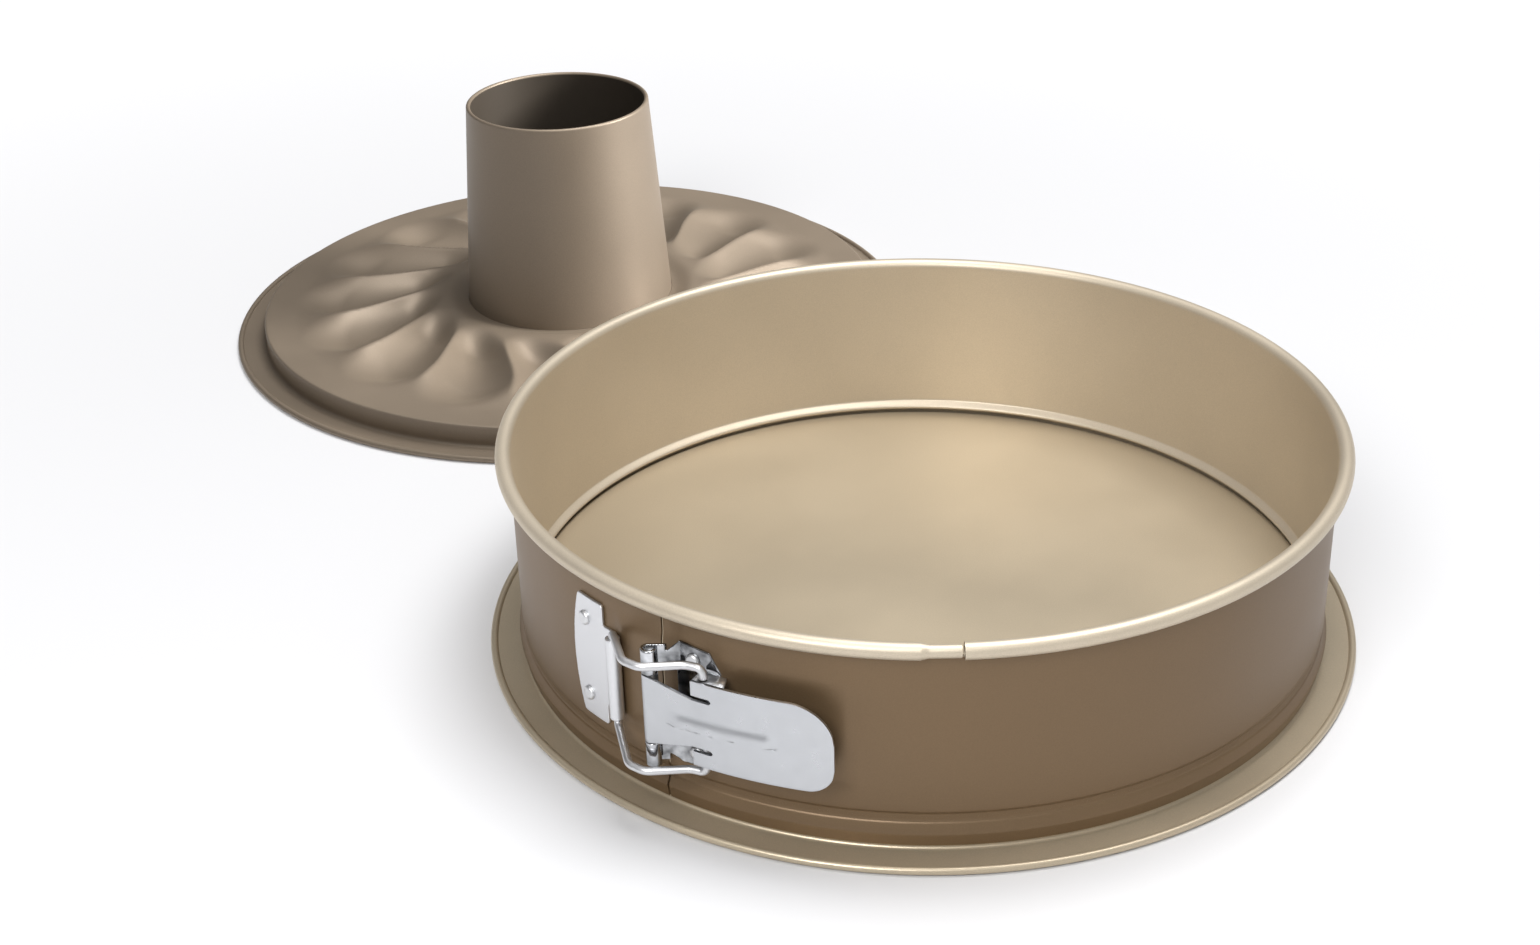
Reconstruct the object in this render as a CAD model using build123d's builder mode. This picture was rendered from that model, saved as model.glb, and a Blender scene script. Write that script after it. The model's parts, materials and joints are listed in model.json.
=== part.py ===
from build123d import *
import math
import os

# ---- driving dimensions (millimetres and degrees) ----

# Spring band: one sheet, parted at the seam, which faces -Y
BAND_RADIUS = 130.0
BAND_SHEET = 0.6
RIM_HEIGHT = 68.6
RIM_RADIUS = 2.2
RIM_CURL_ARC = 295
BEAD_DEPTH = 1.5
BEAD_HEIGHT = 2.4
BEAD_BEND = 0.9
SKIRT_FLARE = 1.2
SKIRT_TUCK = 0.4
SEAM_AZIMUTH = -90.0
BACK_AZIMUTH = 90.0
FLEX_AZIMUTH = 30.0
FULL_TURN = 360.0

# Overlap of the two band ends: an inner tongue, and the rim's splice
TONGUE_LAP = 8.0
TONGUE_RAISE = 1.2
SPLICE_ARC = 76.5
NECK_ROOT = 9.0
NECK_LENGTH = 11.1
NECK_RADIUS = 1.7
NECK_BORE = 1.1

# Bases: a raised plateau that the band grips, and a drip rim around it
PLATEAU_TOP = 9.6
BASE_SHEET = 0.8
BASE_BEND = 0.8
DRIP_WIDTH = 11.6
LIP_RADIUS = 1.2

# Tube base: the second base, which lies beside the pan
TUBE_BASE_GAP = 2.0
TUBE_BASE_AZIMUTH = 155.0
TUBE_FOOT_RADIUS = 43.5
TUBE_TOP_RADIUS = 37.0
TUBE_TOP = 95.5
TUBE_SHEET = 0.6
TUBE_LIP = 0.9
TUBE_FLANGE = 3.0
MOULD_RISE = 4.4
MOULD_FOOT_RISE = 1.8
MOULD_SHOULDER = 11.9
MOULD_SLOPE = 19.0
MOULD_SEAT = 14.5

# Latch: positions are an arc length along the wall from the seam and a distance off the wall
LATCH_DROP = 1.25
LATCH_SHEET = 0.95
PIN_RADIUS = 1.4
PIN_ARC = 0.5
PIN_OFF = 7.0
PIN_LENGTH = 35.0
STRIKE_ARC = -17.0
STRIKE_OFF = 3.0
STRIKE_PLATE = (-38.9, -20.6)
STRIKE_HALF = 20.5
STRIKE_CURL_HALF = 13.6
STRIKE_RIVET_ARC = -32.0
STRIKE_RIVET_SPREAD = 13.0
BRACKET_PLATE = (6.4, 20.0)
BRACKET_HALF = 20.5
BRACKET_RIVET_ARC = 11.0
BRACKET_RIVET_SPREAD = 15.5
STRIKE_EDGE_ARC = -23.6
STRIKE_CORNER_ARC = -35.4
STRIKE_CORNER = 1.2
KNUCKLE_HALF = 19.5
KNUCKLE_NOTCH = 17.0
BRACKET_SHOULDER_ARC = 16.5
BRACKET_SHOULDER = 19.4
BRACKET_CORNER = 13.5
BRACKET_WINDOW_ARC = 5.8
RIVET_SHANK = 1.3
RIVET_HEAD = 2.3
RIVET_DOME = 1.1
DOME_SHARE = 0.9
CURL_ARC = 255

# Lever: a tongue curled round the pin, widening to a rounded thumb plate
LEVER_OFF = 7.2
LEVER_START = 14.4
LEVER_END = 54.3
LEVER_HALF = 14.0
LEVER_CORNER_TOP = 13.0
LEVER_CORNER_BOTTOM = 7.0
TONGUE_ROOT_HALF = 11.2
TONGUE_TIP_HALF = 7.75
SLOT_REACH = 6.0
SLOT_WIDTH = 1.6
EAR_DEPTH = 4.8
EAR_END = 24.0
RIB_END = 39.0
RIB_WIDTH = 5.0
RIB_RISE = 0.7
RIB_LIFT = 0.3

# Wire bail
WIRE_RADIUS = 1.2
BAIL_HALF = 17.5
BAIL_ROOT_HALF = 15.5
HOOK_ARC = 17.0
HOOK_OFF = 5.6
BOW_POINTS = ((-3.0, 14.0), (2.6, 14.0), (12.0, 6.4))
BOW_RADII = (5.0, 5.0, 5.0)
HOOK_BEND = 2.0
ROOT_BEND = 2.6

# Clearances
SEAT_GAP = 0.3
REST_GAP = 0.1
LIFT_GAP = 0.5
RUN_GAP = 0.05
END_GAP = 0.3

# ---- derived sizes ----
WALL_OUTER = BAND_RADIUS + BAND_SHEET
RIM_CENTRE = BAND_RADIUS + RIM_RADIUS
RIM_OUTER = BAND_RADIUS + 2 * RIM_RADIUS
HINGE_RADIUS = RIM_OUTER + END_GAP
BAND_FOOT = 2 * LIP_RADIUS + LIFT_GAP
BEAD_FOOT = PLATEAU_TOP + REST_GAP
BEAD_TOP = BEAD_FOOT + BEAD_HEIGHT
SKIRT_MIDDLE = (BAND_FOOT + BEAD_FOOT) / 2
TONGUE_FACE = BAND_RADIUS - SEAT_GAP - BAND_SHEET
TONGUE_FOOT = BEAD_TOP + TONGUE_RAISE
LAP_TOP = RIM_HEIGHT - RIM_RADIUS - SEAT_GAP
LATCH_HEIGHT = (BEAD_TOP + RIM_HEIGHT - RIM_RADIUS) / 2 - LATCH_DROP
STEP_RADIUS = BAND_RADIUS - SEAT_GAP - BASE_SHEET
MOULD_FOOT = PLATEAU_TOP + MOULD_FOOT_RISE - BASE_SHEET
MOULD_CREST = PLATEAU_TOP + MOULD_RISE - BASE_SHEET
MOULD_OUTER = STEP_RADIUS - MOULD_SHOULDER
BASE_RADIUS = BAND_RADIUS + DRIP_WIDTH
LIP_CENTRE = BASE_RADIUS - LIP_RADIUS
TUBE_DISTANCE = 2 * BASE_RADIUS + TUBE_BASE_GAP
PIN_BORE = PIN_RADIUS + RUN_GAP
WIRE_BORE = WIRE_RADIUS + RUN_GAP
REACH = 2 * BASE_RADIUS


# ---- places ----
def azimuth(arc):
    """Direction of a point on the wall, by its arc length from the seam."""
    return SEAM_AZIMUTH + math.degrees(arc / WALL_OUTER)


def on_circle(radius, angle, centre=(0.0, 0.0)):
    turn = math.radians(angle)
    return (centre[0] + radius * math.cos(turn), centre[1] + radius * math.sin(turn))


def off_wall(arc, off):
    """Plan position, by arc length from the seam and distance off the wall."""
    return on_circle(WALL_OUTER + off, azimuth(arc))


def across(arc):
    """Sideways position of a point on the wall, for outlines drawn facing the seam."""
    return off_wall(arc, 0)[0]


def radial_plane(angle):
    """Upright plane through the pan's axis: local X runs outward, local Y up."""
    outward = on_circle(1, angle)
    return Plane((0, 0, 0), x_dir=(outward[0], outward[1], 0), z_dir=(outward[1], -outward[0], 0))


def rivet_plane(arc, height, off):
    """Plane square to the wall, facing outward."""
    place = off_wall(arc, off)
    outward = on_circle(1, azimuth(arc))
    return Plane(
        (place[0], place[1], height),
        x_dir=(-outward[1], outward[0], 0),
        z_dir=(outward[0], outward[1], 0),
    )


def tangent_point(centre, radius, outside, turn):
    """Where a line from an outside point touches a circle, on the side given by turn (+1 or -1)."""
    gap_x = outside[0] - centre[0]
    gap_y = outside[1] - centre[1]
    toward = math.degrees(math.atan2(gap_y, gap_x))
    swing = math.degrees(math.acos(radius / math.hypot(gap_x, gap_y)))
    return on_circle(radius, toward + turn * swing, centre), toward + turn * swing


def half_gap(radius):
    """Half of an end gap, as an angle at a radius."""
    return math.degrees(0.5 * END_GAP / radius)


# ---- bases ----
def make_base_profile(start_radius, start_height, crest_points=()):
    """Half section of a base: mould surface, seat wall, drip channel and rolled lip."""
    points = [(start_radius, start_height)]
    points += crest_points
    points += [(STEP_RADIUS, PLATEAU_TOP - BASE_SHEET), (STEP_RADIUS, 0), (LIP_CENTRE, 0)]
    with BuildSketch(Plane.XZ) as profile:
        with BuildLine():
            FilletPolyline(*points, radius=BASE_BEND)
            offset(amount=BASE_SHEET, side=Side.LEFT)
        make_face()
        with Locations((LIP_CENTRE, LIP_RADIUS)):
            Circle(LIP_RADIUS)
    return profile.sketch_local


flat_profile = make_base_profile(0, PLATEAU_TOP - BASE_SHEET)

with BuildPart() as flat_base:
    with BuildSketch(Plane.XZ):
        add(flat_profile)
    revolve(axis=Axis.Z)

tube_centre = on_circle(TUBE_DISTANCE, TUBE_BASE_AZIMUTH)
tube_section = Plane((tube_centre[0], tube_centre[1], 0), x_dir=(1, 0, 0), z_dir=(0, -1, 0))
tube_axis = Axis((tube_centre[0], tube_centre[1], 0), (0, 0, 1))

mould_profile = make_base_profile(
    TUBE_FOOT_RADIUS,
    MOULD_FOOT,
    [
        (TUBE_FOOT_RADIUS + MOULD_SEAT, MOULD_CREST),
        (MOULD_OUTER - MOULD_SLOPE, MOULD_CREST),
        (MOULD_OUTER, PLATEAU_TOP - BASE_SHEET),
    ],
)

with BuildPart() as tube_base_plate:
    with BuildSketch(tube_section):
        add(mould_profile)
    revolve(axis=tube_axis)

flange_height = MOULD_FOOT - TUBE_SHEET - REST_GAP

with BuildPart() as tube_chimney:
    with BuildSketch(tube_section):
        with BuildLine():
            Polyline(
                (TUBE_FOOT_RADIUS + TUBE_FLANGE, flange_height),
                (TUBE_FOOT_RADIUS - REST_GAP, flange_height),
                (TUBE_TOP_RADIUS, TUBE_TOP - TUBE_LIP),
            )
            offset(amount=TUBE_SHEET, side=Side.LEFT)
        make_face()
        with Locations((TUBE_TOP_RADIUS - TUBE_SHEET / 2, TUBE_TOP - TUBE_LIP)):
            Circle(TUBE_LIP)
    revolve(axis=tube_axis)


# ---- spring band ----
def make_skirt_points():
    """Inside of the wall from its lower edge to just above the bead."""
    return [
        (BAND_RADIUS + SKIRT_TUCK, BAND_FOOT),
        (BAND_RADIUS + SKIRT_FLARE, SKIRT_MIDDLE),
        (BAND_RADIUS, BEAD_FOOT),
        (BAND_RADIUS - BEAD_DEPTH, (BEAD_FOOT + BEAD_TOP) / 2),
        (BAND_RADIUS, BEAD_TOP),
    ]


with BuildSketch(Plane.XZ) as rimmed_profile:
    with BuildLine():
        FilletPolyline(*make_skirt_points(), (BAND_RADIUS, RIM_HEIGHT), radius=BEAD_BEND)
        CenterArc((RIM_CENTRE, RIM_HEIGHT), RIM_RADIUS, 180, -RIM_CURL_ARC)
        offset(amount=BAND_SHEET, side=Side.RIGHT)
    make_face()

with BuildSketch(Plane.XZ) as lap_profile:
    with BuildLine():
        FilletPolyline(*make_skirt_points(), (BAND_RADIUS, LAP_TOP), radius=BEAD_BEND)
        offset(amount=BAND_SHEET, side=Side.RIGHT)
    make_face()

with BuildSketch(Plane.XZ) as tongue_profile:
    with BuildLine():
        Polyline(
            (TONGUE_FACE, TONGUE_FOOT),
            (TONGUE_FACE, RIM_HEIGHT - RIM_RADIUS),
            (BAND_RADIUS, RIM_HEIGHT),
        )
        CenterArc((RIM_CENTRE, RIM_HEIGHT), RIM_RADIUS, 180, -RIM_CURL_ARC)
        offset(amount=BAND_SHEET, side=Side.RIGHT)
    make_face()

with BuildSketch(Plane.XZ) as lap_joint_profile:
    with Locations((TONGUE_FACE, TONGUE_FOOT)):
        Rectangle(BAND_RADIUS - TONGUE_FACE, LAP_TOP - TONGUE_FOOT, align=(Align.MIN, Align.MIN))

with BuildSketch(Plane.XZ) as neck_profile:
    with Locations((RIM_CENTRE, RIM_HEIGHT)):
        Circle(NECK_RADIUS)
        Circle(NECK_BORE, mode=Mode.SUBTRACT)

seam_gap = half_gap(WALL_OUTER)
flex_gap = half_gap(RIM_OUTER)
back_right = BACK_AZIMUTH - FLEX_AZIMUTH
back_left = BACK_AZIMUTH + FLEX_AZIMUTH
seam_right = SEAM_AZIMUTH + seam_gap
seam_left = SEAM_AZIMUTH - seam_gap
lap_azimuth = azimuth(-TONGUE_LAP)
neck_root = azimuth(SPLICE_ARC - NECK_ROOT)
neck_end = azimuth(SPLICE_ARC + NECK_LENGTH)
mouth_azimuth = azimuth(SPLICE_ARC + NECK_LENGTH + END_GAP)


def sweep_round(profile, start, end):
    """Turn a half section about the pan's axis, from one azimuth to another."""
    with BuildSketch(radial_plane(start)) as section:
        add(profile)
    revolve(section.sketch, axis=Axis.Z, revolution_arc=end - start)


def drill_rivet_holes(arc, spread):
    """Two holes through the band and the plate on it, one above the other."""
    with BuildSketch(rivet_plane(arc, LATCH_HEIGHT, -2 * BAND_SHEET)) as holes:
        with Locations((0, -spread), (0, spread)):
            Circle(RIVET_SHANK)
    extrude(holes.sketch, amount=2 * (BAND_SHEET + LATCH_SHEET), mode=Mode.SUBTRACT)


with BuildPart() as ring_band_back:
    sweep_round(rimmed_profile.sketch_local, back_right + flex_gap, back_left - flex_gap)

with BuildPart() as ring_band_left:
    sweep_round(rimmed_profile.sketch_local, back_left + flex_gap, seam_left + FULL_TURN)
    sweep_round(tongue_profile.sketch_local, seam_left, azimuth(SPLICE_ARC))
    sweep_round(lap_joint_profile.sketch_local, lap_azimuth, seam_left)
    sweep_round(neck_profile.sketch_local, neck_root, neck_end)
    drill_rivet_holes(STRIKE_RIVET_ARC, STRIKE_RIVET_SPREAD)

with BuildPart() as ring_band_right:
    sweep_round(lap_profile.sketch_local, seam_right, mouth_azimuth)
    sweep_round(rimmed_profile.sketch_local, mouth_azimuth, back_right - flex_gap)
    drill_rivet_holes(BRACKET_RIVET_ARC, BRACKET_RIVET_SPREAD)


# ---- latch ----
pin_centre = off_wall(PIN_ARC, PIN_OFF)
strike_centre = off_wall(STRIKE_ARC, STRIKE_OFF)
knuckle_reach = PIN_BORE + LATCH_SHEET + SEAT_GAP
outline_plane = Plane((0, 0, LATCH_HEIGHT), x_dir=(1, 0, 0), z_dir=(0, -1, 0))


def make_curled_plan(far_arc, near_arc, middle_off, centre, bore, hand):
    """Plan section of a sheet that follows the wall and then curls round a pin or wire.

    hand is +1 for a curl that winds counterclockwise seen from above, -1 for clockwise.
    """
    curl_radius = bore + LATCH_SHEET / 2
    near_point = off_wall(near_arc, middle_off)
    touch_point, touch_angle = tangent_point(centre, curl_radius, near_point, hand)
    with BuildSketch() as plan:
        with BuildLine():
            CenterArc((0, 0), WALL_OUTER + middle_off, azimuth(far_arc), azimuth(near_arc) - azimuth(far_arc))
            Line(near_point, touch_point)
            CenterArc(centre, curl_radius, touch_angle, hand * CURL_ARC)
        trace(line_width=LATCH_SHEET)
    return plan.sketch_local


def raise_plan(plan, half):
    """Extrude a plan section evenly above and below the latch's middle height."""
    with BuildSketch(Plane.XY.offset(LATCH_HEIGHT - half)) as section:
        add(plan)
    extrude(section.sketch, amount=2 * half)


plate_off = LATCH_SHEET / 2
lever_off = LEVER_OFF + LATCH_SHEET / 2
strike_plan = make_curled_plan(STRIKE_PLATE[0], STRIKE_PLATE[1], plate_off, strike_centre, WIRE_BORE, -1)
bracket_plan = make_curled_plan(BRACKET_PLATE[1], BRACKET_PLATE[0], plate_off, pin_centre, PIN_BORE, 1)
lever_plan = make_curled_plan(LEVER_END, LEVER_START, lever_off, pin_centre, PIN_BORE, -1)

with BuildPart() as strike_bracket:
    raise_plan(strike_plan, STRIKE_HALF)
    with BuildSketch(outline_plane):
        inner_x = across(STRIKE_EDGE_ARC)
        corner_x = across(STRIKE_CORNER_ARC)
        with BuildLine():
            Polyline(
                (corner_x, STRIKE_HALF),
                (inner_x, STRIKE_HALF),
                (inner_x, -STRIKE_HALF),
                (corner_x, -STRIKE_HALF),
            )
            ThreePointArc((corner_x, -STRIKE_HALF), (across(STRIKE_PLATE[0]), 0), (corner_x, STRIKE_HALF))
        plate_face = make_face()
        fillet(plate_face.vertices(), radius=STRIKE_CORNER)
        with Locations((inner_x, 0)):
            Rectangle(REACH, 2 * STRIKE_CURL_HALF, align=(Align.MIN, Align.CENTER))
    extrude(amount=REACH, mode=Mode.INTERSECT)
    drill_rivet_holes(STRIKE_RIVET_ARC, STRIKE_RIVET_SPREAD)

with BuildPart() as hinge_bracket:
    raise_plan(bracket_plan, BRACKET_HALF)
    with BuildSketch(outline_plane):
        with BuildLine():
            upper = [
                (-REACH, KNUCKLE_HALF),
                (pin_centre[0] + knuckle_reach, KNUCKLE_HALF),
                (pin_centre[0] + knuckle_reach, KNUCKLE_NOTCH),
                (across(BRACKET_PLATE[0]), BRACKET_HALF),
                (across(BRACKET_SHOULDER_ARC), BRACKET_SHOULDER),
                (across(BRACKET_PLATE[1]), BRACKET_CORNER),
            ]
            lower = [(x, -y) for x, y in reversed(upper)]
            Polyline(*upper, *lower, close=True)
        make_face()
        with Locations((across(BRACKET_WINDOW_ARC), 0)):
            Rectangle(
                REACH, 2 * (TONGUE_ROOT_HALF + SEAT_GAP), align=(Align.MAX, Align.CENTER), mode=Mode.SUBTRACT
            )
    extrude(amount=REACH, mode=Mode.INTERSECT)
    drill_rivet_holes(BRACKET_RIVET_ARC, BRACKET_RIVET_SPREAD)

with BuildPart() as hinge_pin:
    with BuildSketch(Plane.XY.offset(LATCH_HEIGHT - PIN_LENGTH / 2)):
        with Locations(pin_centre):
            Circle(PIN_RADIUS)
    extrude(amount=PIN_LENGTH)

# Raised rib along the lever
with BuildPart() as lever_rib:
    with BuildSketch(Plane.XZ):
        with Locations((WALL_OUTER + LEVER_OFF + LATCH_SHEET / 2, LATCH_HEIGHT)):
            Rectangle(LATCH_SHEET / 2 + RIB_RISE, 2 * LEVER_HALF, align=(Align.MIN, Align.CENTER))
    revolve(axis=Axis.Z)
    with BuildSketch(outline_plane):
        rib_near = across(LEVER_START)
        rib_far = across(RIB_END)
        with Locations(((rib_near + rib_far) / 2, RIB_LIFT)):
            SlotOverall(rib_far - rib_near, RIB_WIDTH)
    extrude(amount=REACH, mode=Mode.INTERSECT)

with BuildPart() as latch_lever:
    raise_plan(lever_plan, LEVER_HALF)
    with BuildSketch(outline_plane):
        left_x = across(LEVER_START)
        right_x = across(LEVER_END)
        slot_x = left_x + SLOT_REACH
        with BuildLine():
            Polyline(
                (slot_x, TONGUE_TIP_HALF),
                (pin_centre[0] - knuckle_reach, TONGUE_ROOT_HALF),
                (pin_centre[0] - knuckle_reach, -TONGUE_ROOT_HALF),
                (slot_x, -TONGUE_TIP_HALF),
                (slot_x, -TONGUE_TIP_HALF - SLOT_WIDTH),
                (left_x, -TONGUE_TIP_HALF - SLOT_WIDTH),
                (left_x, -LEVER_HALF),
                (right_x, -LEVER_HALF),
                (right_x, LEVER_HALF),
                (left_x, LEVER_HALF),
                (left_x, TONGUE_TIP_HALF + SLOT_WIDTH),
                (slot_x, TONGUE_TIP_HALF + SLOT_WIDTH),
                close=True,
            )
        outline = make_face()
        corners = outline.vertices().group_by(Axis.X)[-1].sort_by(Axis.Y)
        fillet(corners[0], radius=LEVER_CORNER_BOTTOM)
        fillet(corners[1], radius=LEVER_CORNER_TOP)
    extrude(amount=REACH, mode=Mode.INTERSECT)
    for ear_foot in (-LEVER_HALF, LEVER_HALF - LATCH_SHEET):
        with BuildSketch(Plane.XY.offset(LATCH_HEIGHT + ear_foot)):
            with BuildLine():
                inner = WALL_OUTER + LEVER_OFF - EAR_DEPTH
                outer = WALL_OUTER + LEVER_OFF + LATCH_SHEET / 2
                ear_arc = azimuth(EAR_END) - azimuth(LEVER_START)
                CenterArc((0, 0), inner, azimuth(LEVER_START), ear_arc)
                Line(on_circle(inner, azimuth(EAR_END)), on_circle(outer, azimuth(EAR_END)))
                CenterArc((0, 0), outer, azimuth(EAR_END), -ear_arc)
                Line(on_circle(outer, azimuth(LEVER_START)), on_circle(inner, azimuth(LEVER_START)))
            make_face()
            with Locations(off_wall(HOOK_ARC, HOOK_OFF)):
                Circle(WIRE_RADIUS + SEAT_GAP, mode=Mode.SUBTRACT)
        extrude(amount=LATCH_SHEET)
    add(lever_rib.part)

# Wire bail: straight root in the strike's curl, bowed arms round the hinge, hooked ends
hook_height = LEVER_HALF + END_GAP


def make_bail_side(side):
    """Corners of one arm, from its hook end to its root."""
    hook = off_wall(HOOK_ARC, HOOK_OFF)
    corners = [(hook[0], hook[1], LATCH_HEIGHT + side * hook_height)]
    corners.append((hook[0], hook[1], LATCH_HEIGHT + side * BAIL_HALF))
    for arc, off in reversed(BOW_POINTS):
        bow = off_wall(arc, off)
        corners.append((bow[0], bow[1], LATCH_HEIGHT + side * BAIL_HALF))
    corners.append((strike_centre[0], strike_centre[1], LATCH_HEIGHT + side * BAIL_ROOT_HALF))
    return corners


with BuildPart() as wire_bail:
    with BuildLine() as bail_path:
        lower_arm = make_bail_side(-1)
        upper_arm = make_bail_side(1)
        arm_radii = [HOOK_BEND, *BOW_RADII, ROOT_BEND]
        FilletPolyline(*lower_arm, *reversed(upper_arm), radius=[*arm_radii, *reversed(arm_radii)])
    with BuildSketch(Plane(lower_arm[0], z_dir=(0, 0, -1))):
        Circle(WIRE_RADIUS)
    sweep()

# ---- rivets ----
rivet_places = {
    "strike_rivet_lower": (STRIKE_RIVET_ARC, LATCH_HEIGHT - STRIKE_RIVET_SPREAD),
    "strike_rivet_upper": (STRIKE_RIVET_ARC, LATCH_HEIGHT + STRIKE_RIVET_SPREAD),
    "hinge_rivet_lower": (BRACKET_RIVET_ARC, LATCH_HEIGHT - BRACKET_RIVET_SPREAD),
    "hinge_rivet_upper": (BRACKET_RIVET_ARC, LATCH_HEIGHT + BRACKET_RIVET_SPREAD),
}
rivets = {}
for rivet_name, (rivet_arc, rivet_height) in rivet_places.items():
    with BuildPart() as rivet:
        with BuildSketch(rivet_plane(rivet_arc, rivet_height, -BAND_SHEET)):
            Circle(RIVET_SHANK)
        extrude(amount=BAND_SHEET + LATCH_SHEET)
        head_plane = rivet_plane(rivet_arc, rivet_height, LATCH_SHEET)
        with BuildSketch(head_plane):
            Circle(RIVET_HEAD)
        extrude(amount=RIVET_DOME)
        head_axis = Axis(head_plane.origin, head_plane.z_dir)
        fillet(rivet.edges().filter_by(GeomType.CIRCLE).sort_by(head_axis)[-1], radius=DOME_SHARE * RIVET_DOME)
    rivets[rivet_name] = rivet

# ---- files ----
pieces = {
    "flat_base": flat_base,
    "tube_base_plate": tube_base_plate,
    "tube_chimney": tube_chimney,
    "ring_band_back": ring_band_back,
    "ring_band_left": ring_band_left,
    "ring_band_right": ring_band_right,
    "strike_bracket": strike_bracket,
    "hinge_bracket": hinge_bracket,
    "hinge_pin": hinge_pin,
    "latch_lever": latch_lever,
    "wire_bail": wire_bail,
    **rivets,
}
os.makedirs("parts", exist_ok=True)
for name, piece in pieces.items():
    piece.part.label = name
    export_step(piece.part, f"parts/{name}.step")
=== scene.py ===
"""Springform pan with its tube base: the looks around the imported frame."""

import json
import math

import bmesh
import bpy
from bpy.props import FloatProperty, FloatVectorProperty, IntProperty, PointerProperty
from bpy.types import Operator, Panel, PropertyGroup
from mathutils import Matrix, Vector


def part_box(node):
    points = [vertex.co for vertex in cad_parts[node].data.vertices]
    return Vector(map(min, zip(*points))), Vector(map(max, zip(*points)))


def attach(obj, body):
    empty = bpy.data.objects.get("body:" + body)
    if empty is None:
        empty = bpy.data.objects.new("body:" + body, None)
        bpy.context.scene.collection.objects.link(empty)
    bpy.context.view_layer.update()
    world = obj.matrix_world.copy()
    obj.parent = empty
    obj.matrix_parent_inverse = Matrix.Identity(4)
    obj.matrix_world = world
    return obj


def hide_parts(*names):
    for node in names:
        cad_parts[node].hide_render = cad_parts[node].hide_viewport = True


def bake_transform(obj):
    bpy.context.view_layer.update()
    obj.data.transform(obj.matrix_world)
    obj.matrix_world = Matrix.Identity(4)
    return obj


bl_info = {
    "name": "Springform Pan",
    "version": (1, 0, 0),
    "blender": (4, 5, 0),
    "location": "View3D > Sidebar > Springform Pan",
    "description": "Builds the finished pieces and materials of a springform pan on its frame",
    "category": "Add Mesh",
}

MM = 0.001
TAU = 2 * math.pi
# points nearer than this, in metres, are one point
SAME_SPOT = 1e-7
# room for rounding where lengths are compared
ROUNDING = 1e-6

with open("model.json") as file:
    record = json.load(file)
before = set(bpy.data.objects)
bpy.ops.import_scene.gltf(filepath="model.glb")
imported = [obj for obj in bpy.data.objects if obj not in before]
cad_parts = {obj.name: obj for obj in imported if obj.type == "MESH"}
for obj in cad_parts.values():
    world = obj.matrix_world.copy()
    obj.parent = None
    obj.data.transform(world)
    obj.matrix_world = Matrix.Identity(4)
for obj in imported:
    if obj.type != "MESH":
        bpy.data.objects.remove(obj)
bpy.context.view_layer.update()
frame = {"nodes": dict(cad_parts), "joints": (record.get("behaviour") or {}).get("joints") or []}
joints = {joint["name"]: joint for joint in frame["joints"]}

# ---- places that the frame gives ----
base_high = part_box("flat_base")[1]
back_low, back_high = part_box("ring_band_back")
plate_low, plate_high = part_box("tube_base_plate")
BASE_RADIUS = base_high.x
PLATEAU_TOP = base_high.z
RIM_OUTER = back_high.y
BAND_FOOT = back_low.z
RIM_TOP = back_high.z
TUBE_CENTRE = (plate_low + plate_high) / 2
CHIMNEY_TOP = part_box("tube_chimney")[1].z


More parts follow.
